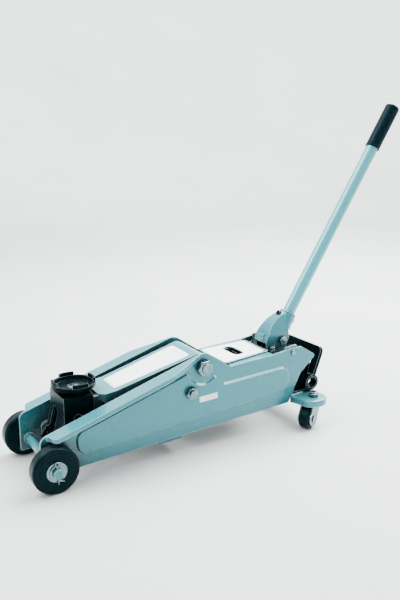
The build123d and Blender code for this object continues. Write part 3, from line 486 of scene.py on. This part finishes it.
# Dipped grip, from the tube's end inside it down its bore, out over a rolled lip, and up to an elliptic dome
grip_foot = 436
grip_tip = 537
tube_tip = grip_tip - 4
grip_bore = 12.55
grip_radius = 14.8
grip_lip = 15.3
lip_bevel = 0.5
lip_edge, lip_end, neck, straight = (grip_foot + rise for rise in (0.6, 2.6, 3.6, 4.4))
dome = 8.0
quarter = np.linspace(0, np.pi / 2, 13)
grip_profile = [(0, tube_tip), (grip_bore, tube_tip), (grip_bore, grip_foot)]
grip_profile += [(grip_lip - lip_bevel, grip_foot), (grip_lip, lip_edge), (grip_lip, lip_end)]
grip_profile += [(grip_radius, neck), (grip_radius, straight)]
grip_profile += list(zip(grip_radius * np.cos(quarter), grip_tip - dome + dome * np.sin(quarter)))
grip = turned("handle_grip_dipped", socket, up_handle, grip_profile, finishes["grip_rubber"])
keep(grip, "handle")
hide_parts("handle_grip")


def spring(node, fixed_end):
    """Copy of a wound spring, baked where it stands, in place of the CAD piece, which is hidden.

    Its two ends along the chassis's length are found, the rear one first when fixed_end is rear, but nothing
    uses them, so the coils do not follow the travel.
    """
    shape = frame["nodes"][node]
    mesh = shape.data.copy()
    mesh.transform(shape.matrix_world)
    coil = bpy.data.objects.new(node + "_wire", mesh)
    bpy.context.scene.collection.objects.link(coil)
    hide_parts(node)
    lengthwise = np.array([math.cos(TILT), 0, math.sin(TILT)])
    reach = np.array([vertex.co for vertex in mesh.vertices]) @ lengthwise
    ends = [reach.min() * lengthwise, reach.max() * lengthwise]
    if fixed_end == "rear":
        ends.reverse()
    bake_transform(coil)


spring("return_springs", "rear")
spring("plunger_spring", "front")

# The photograph's camera: its heading from the jack's length, its dip and its roll, then its place in metres,
# its focal length and the picture's height in pixels, and the sensor's height in millimetres
yaw, pitch, roll = (math.radians(angle) for angle in (59.32, 13.62, 0.15))
camera_place = (-0.2994 - MIDDLE / 1000, -1.0361, 0.5525)
focal_pixels = 672.4
picture_height = 600
sensor_height = 36


def pale_studio():
    """Matt white studio paper that glows more and more from 2.0 to 4.4 m behind the jack, as if lit there."""
    material, tree, shader, coords = start("pale_studio")
    colour = tint(tree, coords, 400, "#BDC1C1", "#C3C6C6")
    tree.links.new(colour.outputs["Color"], shader.inputs["Base Color"])
    tree.links.new(colour.outputs["Color"], shader.inputs["Emission Color"])
    depth = add(tree, "ShaderNodeVectorMath", [(0, coords, "Object")], {"operation": "DOT_PRODUCT"})
    depth.inputs[1].default_value = (math.cos(yaw), math.sin(yaw), 0)
    value = [("Value", depth, "Value")]
    glow = add(tree, "ShaderNodeMapRange", value, From_Min=2.0, From_Max=4.4, To_Min=0.06, To_Max=3.6)
    tree.links.new(glow.outputs["Result"], shader.inputs["Emission Strength"])
    shader.inputs["Roughness"].default_value = 0.8
    return material


# A round sheet of studio paper in metres: flat floor, a quarter-round curl, and an upright wall all round
curl_start = 3.5
curl_radius = 1.5
wall_reach = curl_start + curl_radius
wall_heights = [3.0, 5.0]
floor_reach = np.linspace(0, curl_start - 0.1, 12)
curl_reach = curl_start + curl_radius * np.sin(quarter)
curl_rise = curl_radius - curl_radius * np.cos(quarter)
paper_reach = np.concatenate([floor_reach, curl_reach, [wall_reach, wall_reach]])[:, None]
paper_rise = np.concatenate([0 * floor_reach, curl_rise, wall_heights])[:, None]
sweep = around(72)[None, :]
paper = np.stack([paper_reach * np.cos(sweep), paper_reach * np.sin(sweep), paper_rise + 0 * sweep], -1)
grid_piece("studio_paper", paper, pale_studio(), closed_v=True)

# White studio ceiling: the world brightens from just above the horizon to the top
world = bpy.data.worlds.new("studio")
bpy.context.scene.world = world
world.use_nodes = True
sky = world.node_tree
height = add(sky, "ShaderNodeSeparateXYZ", [("Vector", sky.nodes.new("ShaderNodeTexCoord"), "Generated")])
value = [("Value", height, "Z")]
ceiling = add(sky, "ShaderNodeMapRange", value, From_Min=0.25, From_Max=0.9, To_Min=0.003, To_Max=1.6)
sky.nodes["Background"].inputs["Color"].default_value = linear("#FFFFFF")
sky.links.new(ceiling.outputs["Result"], sky.nodes["Background"].inputs["Strength"])


def softbox(name, place, target, size, watts):
    """Square area light at a place, turned to a target, in metres."""
    data = bpy.data.lights.new(name, "AREA")
    data.size = size
    data.energy = watts
    lamp = bpy.data.objects.new(name, data)
    bpy.context.scene.collection.objects.link(lamp)
    aim = (Vector(target) - Vector(place)).to_track_quat("-Z", "Y").to_matrix().to_4x4()
    lamp.matrix_world = Matrix.Translation(place) @ aim


softbox("top_light", (1.4, 0.5, 2.1), (0.1, 0, 0.1), size=2.2, watts=410)
softbox("front_light", (-1.5, 0.7, 2.4), (-0.1, 0, 0.15), size=2.0, watts=150)
softbox("side_light", (1.9, -1.7, 0.8), (0.25, 0, 0.12), size=1.6, watts=6)

lens = bpy.data.cameras.new("photo_camera")
lens.lens = sensor_height * focal_pixels / picture_height
lens.clip_start = 0.05
camera = bpy.data.objects.new("photo_camera", lens)
bpy.context.scene.collection.objects.link(camera)
forward = Vector((math.cos(yaw) * math.cos(pitch), math.sin(yaw) * math.cos(pitch), -math.sin(pitch)))
right = forward.cross(Vector(UPRIGHT)).normalized()
upward = right.cross(forward)
rolled_right = right * math.cos(roll) + upward * math.sin(roll)
rolled_up = upward * math.cos(roll) - right * math.sin(roll)
turn = Matrix((rolled_right, rolled_up, -forward)).transposed().to_4x4()
camera.matrix_world = Matrix.Translation(camera_place) @ turn
bpy.context.scene.camera = camera
